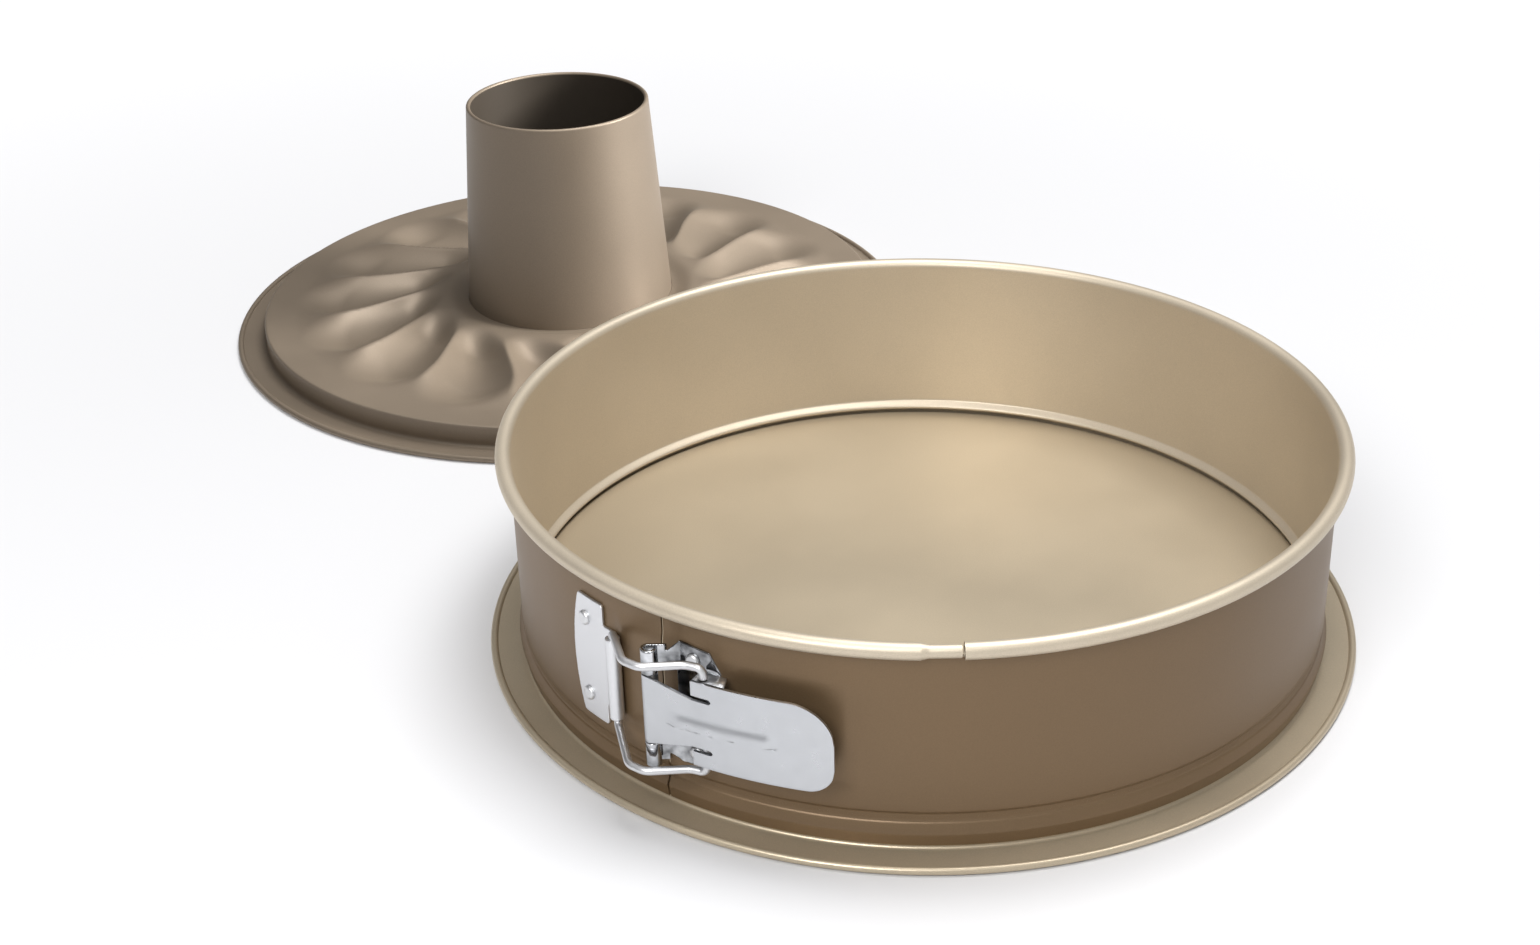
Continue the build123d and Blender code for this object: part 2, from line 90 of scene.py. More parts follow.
# ---- settings ----
class PanSizes(PropertyGroup):
    """Sizes of the finished pieces that the frame doesn't give."""

    sheet: FloatProperty(
        name="Band sheet", description="Thickness of the band", default=0.6 * MM, unit="LENGTH"
    )
    base_sheet: FloatProperty(
        name="Base sheet", description="Thickness of the bases", default=0.8 * MM, unit="LENGTH"
    )
    rim_radius: FloatProperty(
        name="Rim roll", description="Radius of the rolled rim", default=2.5 * MM, unit="LENGTH"
    )
    lip_radius: FloatProperty(
        name="Lip roll", description="Radius of the base's lip", default=1.2 * MM, unit="LENGTH"
    )
    drip_width: FloatProperty(
        name="Drip rim", description="Band to base edge", default=11.6 * MM, unit="LENGTH"
    )
    bead_depth: FloatProperty(
        name="Bead depth", description="How far the bead juts in", default=2.6 * MM, unit="LENGTH"
    )
    bead_height: FloatProperty(
        name="Bead height", description="Height of the bead", default=4.2 * MM, unit="LENGTH"
    )
    latch_sheet: FloatProperty(
        name="Latch sheet", description="Thickness of the latch's plates", default=0.95 * MM, unit="LENGTH"
    )
    lever_off: FloatProperty(
        name="Lever gap", description="Lever to wall", default=7.2 * MM, unit="LENGTH"
    )
    lever_root: FloatProperty(
        name="Thumb plate start", description="Arc length from the seam", default=14.4 * MM, unit="LENGTH"
    )
    lever_end: FloatProperty(
        name="Thumb plate end", description="Arc length from the seam", default=54.3 * MM, unit="LENGTH"
    )
    lever_half: FloatProperty(
        name="Thumb plate half height", description="Half height", default=14 * MM, unit="LENGTH"
    )
    tongue_root: FloatProperty(
        name="Tongue root", description="Half height at the pin", default=11.2 * MM, unit="LENGTH"
    )
    tongue_tip: FloatProperty(
        name="Tongue tip", description="Half height at the thumb plate", default=7.75 * MM, unit="LENGTH"
    )
    slot_reach: FloatProperty(
        name="Slot reach", description="Length of a slot", default=6.0 * MM, unit="LENGTH"
    )
    slot_width: FloatProperty(
        name="Slot width", description="Width of a slot", default=1.6 * MM, unit="LENGTH"
    )
    rib_rise: FloatProperty(
        name="Rib rise", description="Height of the lever's rib", default=0.95 * MM, unit="LENGTH"
    )
    flute_count: IntProperty(name="Flutes", description="Flutes pressed in the tube base", default=16, min=3)
    flute_outer: FloatProperty(
        name="Flute outer end", description="Radius", default=117.5 * MM, unit="LENGTH"
    )
    flute_inner: FloatProperty(
        name="Flute inner end", description="Radius", default=53.0 * MM, unit="LENGTH"
    )
    flute_depth: FloatProperty(
        name="Flute depth", description="Depth of a scoop", default=6.6 * MM, unit="LENGTH"
    )
    ridge_rise: FloatProperty(
        name="Ridge rise", description="Ridges above the plateau", default=3.6 * MM, unit="LENGTH"
    )
    flute_turn: FloatProperty(
        name="Flute turn",
        description="Azimuth of one ridge's outer end",
        default=math.radians(4.2),
        subtype="ANGLE",
    )
    flute_bow: FloatProperty(
        name="Flute bow", description="Sideways bow of the ridges", default=math.radians(3.0), subtype="ANGLE"
    )
    flute_swirl: FloatProperty(
        name="Flute swirl", description="Turn of the inner ends", default=math.radians(15), subtype="ANGLE"
    )


class PanColours(PropertyGroup):
    """Colours of the coatings and the metal."""

    band: FloatVectorProperty(
        name="Inner coat",
        description="Champagne coat inside the ring",
        subtype="COLOR",
        default=(0.60, 0.52, 0.405),
    )
    # the outer coat's colour is partly the ring's own bronze coat and partly painted shade that darkens the
    # outer wall
    outside: FloatVectorProperty(
        name="Outer coat",
        description="Bronze coat outside the ring",
        subtype="COLOR",
        default=(0.178, 0.115, 0.060),
    )
    base: FloatVectorProperty(
        name="Base coat",
        description="Champagne coat of the flat base",
        subtype="COLOR",
        default=(0.545, 0.460, 0.335),
    )
    tube: FloatVectorProperty(
        name="Tube coat",
        description="Taupe coat of the tube base",
        subtype="COLOR",
        default=(0.255, 0.203, 0.150),
    )
    steel: FloatVectorProperty(
        name="Plated steel",
        description="Bright plate of the latch",
        subtype="COLOR",
        default=(0.67, 0.685, 0.71),
    )
    floor: FloatVectorProperty(
        name="Floor", description="Pale table top", subtype="COLOR", default=(0.66, 0.66, 0.67)
    )


def sizes():
    return bpy.context.scene.pan_sizes


def colours():
    return bpy.context.scene.pan_colours


# ---- materials ----
# colour sockets of the Mix node, whose names its other data types share
MIX_A = 6
MIX_B = 7
MIX_RESULT = 2

EVEN_GRAIN = (1, 1, 1)
ROLLED_GRAIN = (1, 1, 6)


def start_material(name):
    """A new material with its nodes, its links and its shader."""
    material = bpy.data.materials.new(name)
    material.use_nodes = True
    nodes = material.node_tree.nodes
    return material, nodes, material.node_tree.links, nodes["Principled BSDF"]


def add_noise(nodes, scale, detail):
    noise = nodes.new("ShaderNodeTexNoise")
    noise.inputs["Scale"].default_value = scale
    noise.inputs["Detail"].default_value = detail
    return noise


def add_ramp(nodes, low, low_colour, high, high_colour):
    """Colour ramp from one colour to another between two positions."""
    ramp = nodes.new("ShaderNodeValToRGB")
    first, last = ramp.color_ramp.elements
    first.position = low
    first.color = (*low_colour, 1)
    last.position = high
    last.color = (*high_colour, 1)
    return ramp


def add_range(nodes, from_low, from_high, to_low, to_high):
    change = nodes.new("ShaderNodeMapRange")
    change.inputs["From Min"].default_value = from_low
    change.inputs["From Max"].default_value = from_high
    change.inputs["To Min"].default_value = to_low
    change.inputs["To Max"].default_value = to_high
    return change


def vary_gloss(nodes, links, shader, noise, low, high):
    """Roughness that follows a noise."""
    gloss = add_range(nodes, 0.3, 0.7, low, high)
    links.new(noise.outputs["Fac"], gloss.inputs["Value"])
    links.new(gloss.outputs["Result"], shader.inputs["Roughness"])


def roughen(nodes, links, shader, noise, strength, depth):
    """Bump that follows a noise."""
    bump = nodes.new("ShaderNodeBump")
    bump.inputs["Strength"].default_value = strength
    bump.inputs["Distance"].default_value = depth
    links.new(noise.outputs["Fac"], bump.inputs["Height"])
    links.new(bump.outputs["Normal"], shader.inputs["Normal"])


def make_coat(name, colour, roughness, metallic):
    """Satin non-stick coating: fine metallic fleck, faint cloudiness and a soft orange peel."""
    material, nodes, links, shader = start_material(name)
    shader.inputs["Metallic"].default_value = metallic
    shader.inputs["Coat Weight"].default_value = 0.04
    shader.inputs["Coat Roughness"].default_value = 0.35
    place = nodes.new("ShaderNodeTexCoord")
    cloud = add_noise(nodes, 14.0, 4.0)
    fleck = add_noise(nodes, 2600.0, 2.0)
    for texture in (cloud, fleck):
        links.new(place.outputs["Object"], texture.inputs["Vector"])
    darker = [c * 0.955 for c in colour]
    lighter = [min(1, c * 1.045) for c in colour]
    tone = add_ramp(nodes, 0.35, darker, 0.65, lighter)
    links.new(cloud.outputs["Fac"], tone.inputs["Fac"])
    fleck_tone = add_ramp(nodes, 0.3, (0.72, 0.72, 0.72), 0.7, (1.0, 1.0, 1.0))
    links.new(fleck.outputs["Fac"], fleck_tone.inputs["Fac"])
    speck = nodes.new("ShaderNodeMix")
    speck.data_type = "RGBA"
    speck.blend_type = "MULTIPLY"
    speck.inputs["Factor"].default_value = 0.35
    links.new(tone.outputs["Color"], speck.inputs[MIX_A])
    links.new(fleck_tone.outputs["Color"], speck.inputs[MIX_B])
    links.new(speck.outputs[MIX_RESULT], shader.inputs["Base Color"])
    vary_gloss(nodes, links, shader, cloud, roughness - 0.04, roughness + 0.05)
    roughen(nodes, links, shader, fleck, 0.08, 0.06 * MM)
    return material


def make_plate_metal(name, colour, roughness, grain, contrast=0.12, patch=90.0):
    """Bright plated steel: rolling grain, soft mottling and small handling marks; at a high contrast the
    mottling paints dark reflections.
    """
    material, nodes, links, shader = start_material(name)
    shader.inputs["Metallic"].default_value = 1.0
    place = nodes.new("ShaderNodeTexCoord")
    stretch = nodes.new("ShaderNodeMapping")
    stretch.inputs["Scale"].default_value = grain
    links.new(place.outputs["Object"], stretch.inputs["Vector"])
    streak = add_noise(nodes, 220.0, 2.0)
    links.new(stretch.outputs["Vector"], streak.inputs["Vector"])
    # random tone at a low contrast, painted reflections at a high one
    mottle_and_reflections = add_noise(nodes, patch, 3.0)
    links.new(place.outputs["Object"], mottle_and_reflections.inputs["Vector"])
    darker = [c * (1 - contrast) for c in colour]
    tone = add_ramp(nodes, 0.3, darker, 0.7, colour)
    links.new(mottle_and_reflections.outputs["Fac"], tone.inputs["Fac"])
    links.new(tone.outputs["Color"], shader.inputs["Base Color"])
    vary_gloss(nodes, links, shader, streak, roughness - 0.05, roughness + 0.07)
    roughen(nodes, links, shader, streak, 0.12, 0.03 * MM)
    return material


def make_floor_paint(colour):
    """Pale matt table top with a hardly visible unevenness, which glows more away from the pan: painted light
    that keeps the far floor white.
    """
    material, nodes, links, shader = start_material("table_top")
    shader.inputs["Roughness"].default_value = 0.6
    shader.inputs["Emission Color"].default_value = (1, 1, 1, 1)
    place = nodes.new("ShaderNodeTexCoord")
    reach = nodes.new("ShaderNodeVectorMath")
    reach.operation = "LENGTH"
    links.new(place.outputs["Object"], reach.inputs[0])
    # painted light: the floor glows more away from the pan
    glow = add_range(nodes, 0.22, 1.1, 0.0, 0.45)
    glow.interpolation_type = "SMOOTHSTEP"
    links.new(reach.outputs["Value"], glow.inputs["Value"])
    links.new(glow.outputs["Result"], shader.inputs["Emission Strength"])
    noise = add_noise(nodes, 3.0, 2.0)
    tone = add_ramp(nodes, 0.0, [c * 0.99 for c in colour], 1.0, colour)
    links.new(noise.outputs["Fac"], tone.inputs["Fac"])
    links.new(tone.outputs["Color"], shader.inputs["Base Color"])
    return material


def finish(name, maker, *settings):
    """A material by name, made the first time that it is asked for."""
    found = bpy.data.materials.get(name)
    return found if found else maker(name, *settings)


def band_coat():
    return finish("champagne_coat", make_coat, colours().band, 0.45, 0.55)


# bronze coat darkened with painted shade for the ring's outer wall
def outside_coat_with_painted_shade():
    return finish("bronze_coat_with_painted_shade", make_coat, colours().outside, 0.42, 0.45)


def base_coat():
    return finish("champagne_coat_base", make_coat, colours().base, 0.38, 0.55)


def tube_coat():
    return finish("taupe_coat", make_coat, colours().tube, 0.48, 0.45)


def steel_with_painted_light(share):
    """The plate's colour, darker under 1, which paints shade, and brighter over it, which paints light, on a
    copy of the plated steel.
    """
    return [c * share for c in colours().steel]


# painted shade: a much darker copy of the tube coat for the inside of the chimney
def flue_painted_shade():
    return finish("flue_painted_shade", make_coat, [c * 0.30 for c in colours().tube], 0.55, 0.3)


def plated_steel():
    return finish("plated_steel", make_plate_metal, colours().steel, 0.24, ROLLED_GRAIN)


# painted shade: the lever takes a darker copy of the plated steel
def lever_steel_painted_shade():
    return finish("lever_steel_painted_shade", make_plate_metal, steel_with_painted_light(0.84), 0.32, EVEN_GRAIN, 0.04)


# painted reflections: strong, large dark patches in the hinge bracket's colour
def mirror_steel_painted_reflections():
    return finish("mirror_steel_painted_reflections", make_plate_metal, steel_with_painted_light(1.1), 0.10, ROLLED_GRAIN, 0.85, 170.0)


# painted shade: the wire and the pin take a darker copy of the plated steel
def wire_steel():
    return finish("wire_steel", make_plate_metal, steel_with_painted_light(0.74), 0.22, EVEN_GRAIN)


# painted shade: a darker copy of the plated steel that stands for the shade round the rivet heads
def rivet_steel():
    return finish("rivet_steel", make_plate_metal, steel_with_painted_light(0.80), 0.20, EVEN_GRAIN)


# ---- mesh helpers ----
NEARLY_STRAIGHT = math.radians(0.06)
LONGEST_TRIM = 0.45


def arc_points(centre, radius, start, end, steps):
    """Points of a round stretch in the half section, angles in degrees."""
    points = []
    for step in range(steps + 1):
        angle = math.radians(start + (end - start) * step / steps)
        points.append((centre[0] + radius * math.cos(angle), centre[1] + radius * math.sin(angle)))
    return points


def rounded(points, radius, steps=5):
    """An open line with its inner corners rounded."""
    line = [Vector(points[0])]
    for before, corner, after in zip(points, points[1:], points[2:]):
        corner = Vector(corner)
        back = Vector(before) - corner
        ahead = Vector(after) - corner
        turn = math.pi - back.angle(ahead)
        if turn < NEARLY_STRAIGHT:
            continue
        trim = min(radius * math.tan(turn / 2), LONGEST_TRIM * back.length, LONGEST_TRIM * ahead.length)
        start = corner + back.normalized() * trim
        end = corner + ahead.normalized() * trim
        for step in range(steps + 1):
            share = step / steps
            bend = start.lerp(corner, share).lerp(corner.lerp(end, share), share)
            line.append(bend)
    line.append(Vector(points[-1]))
    return [tuple(point) for point in line]


def thicken(line, sheet):
    """Closed outline of a sheet whose face is the line, with the metal on its right."""
    path = [Vector(point) for point in line]
    other = []
    for index, point in enumerate(path):
        before = path[max(index - 1, 0)]
        after = path[min(index + 1, len(path) - 1)]
        along = (after - before).normalized()
        other.append(tuple(point + Vector((along.y, -along.x)) * sheet))
    return list(line) + list(reversed(other))


def new_piece(name, mesh, material, body, smooth=50):
    """An object on a body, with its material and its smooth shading."""
    piece = bpy.data.objects.new(name, mesh)
    bpy.context.scene.collection.objects.link(piece)
    mesh.materials.append(material)
    mesh.shade_smooth()
    mesh.set_sharp_from_angle(angle=math.radians(smooth))
    if body:
        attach(piece, body)
    return piece


def add_ring(build, outline, angle, centre=(0, 0)):
    """Vertices of an outline in the upright half plane at an azimuth."""
    cos = math.cos(angle)
    sin = math.sin(angle)
    return [build.verts.new((centre[0] + r * cos, centre[1] + r * sin, z)) for r, z in outline]


def join_rings(build, ring, after):
    """Faces from one ring of vertices to the next."""
    for index in range(len(ring)):
        following = (index + 1) % len(ring)
        build.faces.new((ring[index], after[index], after[following], ring[following]))


def as_mesh(build, name):
    mesh = bpy.data.meshes.new(name)
    build.to_mesh(mesh)
    build.free()
    return mesh


def turn_outlines(name, outlines, centre):
    """Closed outlines at even azimuths all round an upright axis, joined to one skin."""
    build = bmesh.new()
    rings = []
    for step, outline in enumerate(outlines):
        rings.append(add_ring(build, outline, TAU * step / len(outlines), centre))
    for ring, after in zip(rings, rings[1:] + rings[:1]):
        join_rings(build, ring, after)
    bmesh.ops.remove_doubles(build, verts=build.verts, dist=SAME_SPOT)
    bmesh.ops.recalc_face_normals(build, faces=build.faces)
    return as_mesh(build, name)


def add_swept_band(build, outlines, angles):
    """Faces of a closed outline carried from one azimuth to the next, and its two end caps."""
    rings = [add_ring(build, outline, angle) for angle, outline in zip(angles, outlines)]
    for ring, after in zip(rings, rings[1:]):
        join_rings(build, ring, after)
    build.faces.new(rings[0])
    build.faces.new(list(reversed(rings[-1])))


def steps_between(start, end, step):
    """Evenly spaced angles that end exactly at the last one."""
    count = max(2, math.ceil(abs(end - start) / step))
    return [start + (end - start) * index / count for index in range(count + 1)]


def smoothstep(low, high, value):
    share = min(1.0, max(0.0, (value - low) / (high - low)))
    return share * share * (3 - 2 * share)


# ---- bases ----
# section of both bases, from the mould surface out to the lip
BASE_STEPS = 360
BASE_BEND = 1.6 * MM
SEAT_ROOM = 0.3 * MM
LIP_TUCK = 0.4 * MM

# the fluted mould: its edge, its ridges, and how its scoops run out at both ends
MOULD_EDGE = 127.4 * MM
MOULD_ROWS = 72
STEPS_PER_FLUTE = 32
RIDGE_RAMP = 24 * MM
RIDGE_FALL = 0.6
OUTER_SCALLOP = 9.0 * MM
INNER_SCALLOP = 5.0 * MM
OUTER_RUN_OUT = 20 * MM
INNER_RUN_OUT = 17 * MM

# the conical tube, and the flange that seams it under the mould
CHIMNEY_STEPS = 192
CHIMNEY_FOOT = 43.6 * MM
CHIMNEY_NECK = 37.0 * MM
CHIMNEY_LIP = 0.9 * MM
CHIMNEY_FLANGE = 2.6 * MM
CHIMNEY_ROOM = 0.1 * MM
CHIMNEY_BEND = 0.5 * MM
FLANGE_DROP = 0.2 * MM
FLANGE_UNDERSIDE = 1.8 * MM


def base_outline(surface):
    """Closed half section of a base, from its mould surface out to the rolled lip."""
    own = sizes()
    lip = own.lip_radius
    seat = BASE_RADIUS - own.drip_width - SEAT_ROOM
    top = [(BASE_RADIUS - lip, own.base_sheet), (seat, own.base_sheet), (seat, PLATEAU_TOP)] + surface
    top = rounded(top, BASE_BEND, 6)
    underside = thicken(top, -own.base_sheet)[len(top):]
    roll = arc_points((BASE_RADIUS - lip, lip), lip, -90, 170, 18)
    return underside[:-1] + [(BASE_RADIUS - lip - LIP_TUCK, 0.0)] + roll + top[1:]


class PAN_OT_flat_base(Operator):
    """Flat base: plateau, seat wall, drip channel and rolled lip"""

    bl_idname = "pan.flat_base"
    bl_label = "Flat base"

    def execute(self, context):
        outline = base_outline([(0.0, PLATEAU_TOP)])
        mesh = turn_outlines("flat_base_finished", [outline] * BASE_STEPS, (0, 0))
        piece = new_piece("flat_base_finished", mesh, base_coat(), "flat_base")
        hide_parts("flat_base")
        return {"FINISHED"}


def flute_height(radius, azimuth):
    """Height of the mould: plain shoulder, concave scoops with sharp curved ridges, and the tube's seat."""
    own = sizes()
    inward = min(1.0, max(0.0, (own.flute_outer - radius) / (own.flute_outer - own.flute_inner)))
    curl = own.flute_bow * math.sin(math.pi * min(1.0, 1.15 * inward)) - own.flute_swirl * inward * inward
    across = 2 * (((azimuth - own.flute_turn - curl) * own.flute_count / TAU) % 1.0) - 1
    ridge = PLATEAU_TOP + own.ridge_rise * smoothstep(own.flute_outer, own.flute_outer - RIDGE_RAMP, radius)
    ridge -= RIDGE_FALL * own.ridge_rise * (1 - smoothstep(CHIMNEY_FOOT, own.flute_inner, radius))
    outer_end = own.flute_outer - OUTER_SCALLOP * across * across
    inner_end = own.flute_inner + INNER_SCALLOP * across * across
    reach = smoothstep(0, OUTER_RUN_OUT, outer_end - radius)
    reach *= smoothstep(0, INNER_RUN_OUT, radius - inner_end)
    return ridge - own.flute_depth * reach * (1 - across * across)


class PAN_OT_tube_base(Operator):
    """Tube base: fluted mould plate with drip channel, and the conical tube seamed into it"""

    bl_idname = "pan.tube_base"
    bl_label = "Tube base"

    def execute(self, context):
        self.make_plate()
        self.make_chimney()
        return {"FINISHED"}

    def make_plate(self):
        own = sizes()
        whole = base_outline([(MOULD_EDGE, PLATEAU_TOP)])
        rim = [point for point in whole if point[0] >= MOULD_EDGE - ROUNDING]
        segments = STEPS_PER_FLUTE * own.flute_count
        outlines = []
        for step in range(segments):
            surface = []
            for row in range(MOULD_ROWS + 1):
                radius = MOULD_EDGE + (CHIMNEY_FOOT - MOULD_EDGE) * row / MOULD_ROWS
                surface.append((radius, flute_height(radius, TAU * step / segments)))
            underside = [(radius, height - own.base_sheet) for radius, height in reversed(surface)]
            outline = rim + surface[1:] + underside[:-1]
            outlines.append([(radius, max(height, 0.0)) for radius, height in outline])
        mesh = turn_outlines("tube_base_plate_finished", outlines, TUBE_CENTRE)
        piece = new_piece("tube_base_plate_finished", mesh, tube_coat(), "tube_base", 60)
        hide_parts("tube_base_plate")

    def make_chimney(self):
        own = sizes()
        seat = flute_height(CHIMNEY_FOOT, 0.0)
        flange = seat - own.base_sheet - FLANGE_DROP
        foot = CHIMNEY_FOOT - CHIMNEY_ROOM
        flange_edge = CHIMNEY_FOOT + CHIMNEY_FLANGE
        lip_foot = CHIMNEY_TOP - CHIMNEY_LIP
        side = rounded([(flange_edge, flange), (foot, flange), (CHIMNEY_NECK, lip_foot)], CHIMNEY_BEND)
        inside = [(r - own.sheet, z) for r, z in reversed(side) if z > seat]
        roll = arc_points((CHIMNEY_NECK - own.sheet / 2, lip_foot), CHIMNEY_LIP, 0, 180, 12)
        underside = seat - FLANGE_UNDERSIDE
        inside_foot = [(foot - own.sheet, underside), (flange_edge, underside)]
        outline = side[:-1] + roll + inside[1:] + inside_foot
        mesh = turn_outlines("tube_chimney_finished", [outline] * CHIMNEY_STEPS, TUBE_CENTRE)
        # faces inside the chimney take the darker coat, which paints the shade in the flue
        for face in mesh.polygons:
            outward = (face.center.xy - TUBE_CENTRE.xy).dot(face.normal.xy)
            face.material_index = 1 if outward < 0 and face.center.z < lip_foot - CHIMNEY_LIP else 0
        piece = new_piece("tube_chimney_finished", mesh, tube_coat(), "tube_base", 60)
        mesh.materials.append(flue_painted_shade())
        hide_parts("tube_chimney")


# ---- ring ----
def wall_radius():
    return BASE_RADIUS - sizes().drip_width


def seam_angle(arc):
    """Azimuth of a point on the wall, by its arc length from the seam."""
    return -math.pi / 2 + arc / (wall_radius() + sizes().sheet)


# half the gap between the band's two ends at the seam
SEAM_HALF_GAP = 0.35 * MM
# the ends are divided finely up to this arc length from the seam
SEAM_FINE = 30 * MM
WIDE_STEP = math.radians(0.75)
FINE_STEP = math.radians(0.35)
TONGUE_STEP = math.radians(0.6)
NECK_STEP = math.radians(0.3)

# section of the band: skirt, bead, wall and rolled rim, whose roll starts and ends in degrees
BAND_BEND = 0.9 * MM
BEAD_GROOVE = 0.5 * MM
BEAD_ROOM = 0.1 * MM
SKIRT_FLARE = 1.2 * MM
SKIRT_TUCK = 0.4 * MM
SKIRT_ROOM = 0.15 * MM
SKIRT_RISE = 0.6 * MM
ROLL_START = 180
ROLL_END = -112
ROLL_STEPS = 26
FACE_LENGTH = 1.6 * MM

# the pressed panel's ends and edges, each as where it starts to rise and where it is level
PANEL_START = (-19.5 * MM, -15.5 * MM)
PANEL_END = (56 * MM, 60 * MM)
PANEL_LOW = (20.0 * MM, 24.0 * MM)
PANEL_HIGH = (55.0 * MM, 59.0 * MM)
PANEL_RISE = 0.55 * MM

# the lap: an inner tongue from the seam to the rim's splice, and a neck that slides in the rim's mouth
TONGUE_ROOM = 0.3 * MM
TONGUE_LIFT = 1.3 * MM
TONGUE_BEND = 1.5 * MM
TONGUE_FACE_LENGTH = 4 * MM
SPLICE_ARC = 76.5 * MM
MOUTH_ARC = 87.9 * MM
NECK_START = -4 * MM
NECK_SHOULDER = 2.2 * MM
NECK_LENGTH = 11.0 * MM
NECK_ROOM = 0.12 * MM
NECK_SLIMMER = 0.45 * MM
NECK_ROLL_END = 345
NECK_ROLL_STEPS = 23
LAP_ROOM = 0.25 * MM
# the outer coat reaches this far in past the middle of the wall, into the groove
COAT_REACH = 2.2 * MM
# faces that lean inward by less than this share still take the outer coat
COAT_LEAN = 0.2


def band_line(top):
    """Inside face of the band, from its foot up to a height."""
    own = sizes()
    wall = wall_radius()
    foot = PLATEAU_TOP + BEAD_ROOM
    points = [
        (wall + SKIRT_TUCK, BAND_FOOT + SKIRT_ROOM),
        (wall + SKIRT_FLARE, (BAND_FOOT + foot) / 2 + SKIRT_RISE),
        (wall, foot),
        (wall - own.bead_depth, foot + own.bead_height / 2),
        (wall, foot + own.bead_height),
        (wall, top),
    ]
    return rounded(points, BAND_BEND)


def press_panel(outline, arc):
    """Moves the outline outward where the pressed panel around the latch is."""
    inside = smoothstep(*PANEL_START, arc) * (1 - smoothstep(*PANEL_END, arc))
    shaped = []
    for radius, height in outline:
        lift = inside * smoothstep(*PANEL_LOW, height) * (1 - smoothstep(*PANEL_HIGH, height))
        shaped.append((radius + PANEL_RISE * lift, height))
    return shaped


def divide_long(line, longest):
    """The line with its long straight stretches divided."""
    divided = [line[0]]
    for start, end in zip(line, line[1:]):
        parts = max(1, math.ceil((Vector(end) - Vector(start)).length / longest))
        for part in range(1, parts + 1):
            divided.append(tuple(Vector(start).lerp(Vector(end), part / parts)))
    return divided


def roll_middle():
    """Centre of the rim's roll in the half section."""
    own = sizes()
    return wall_radius() + own.rim_radius, RIM_TOP - own.rim_radius


def roll_underside():
    return RIM_TOP - 2 * sizes().rim_radius


def rim_roll():
    """The rim's roll, from where it leaves the wall."""
    return arc_points(roll_middle(), sizes().rim_radius, ROLL_START, ROLL_END, ROLL_STEPS)[1:]


def rimmed_outline():
    """Closed section of the wall with its rolled rim."""
    line = divide_long(band_line(roll_middle()[1]), FACE_LENGTH) + rim_roll()
    return close_bead(thicken(line, sizes().sheet), len(line))


def lap_outline():
    """Closed section of the wall that ends under the tongue's roll."""
    line = divide_long(band_line(roll_underside() - LAP_ROOM), FACE_LENGTH)
    return close_bead(thicken(line, sizes().sheet), len(line))


def close_bead(outline, face_count):
    """The bead is a closed fold, so only a shallow groove of it shows outside."""
    groove = wall_radius() + sizes().sheet - BEAD_GROOVE
    return outline[:face_count] + [(max(radius, groove), height) for radius, height in outline[face_count:]]


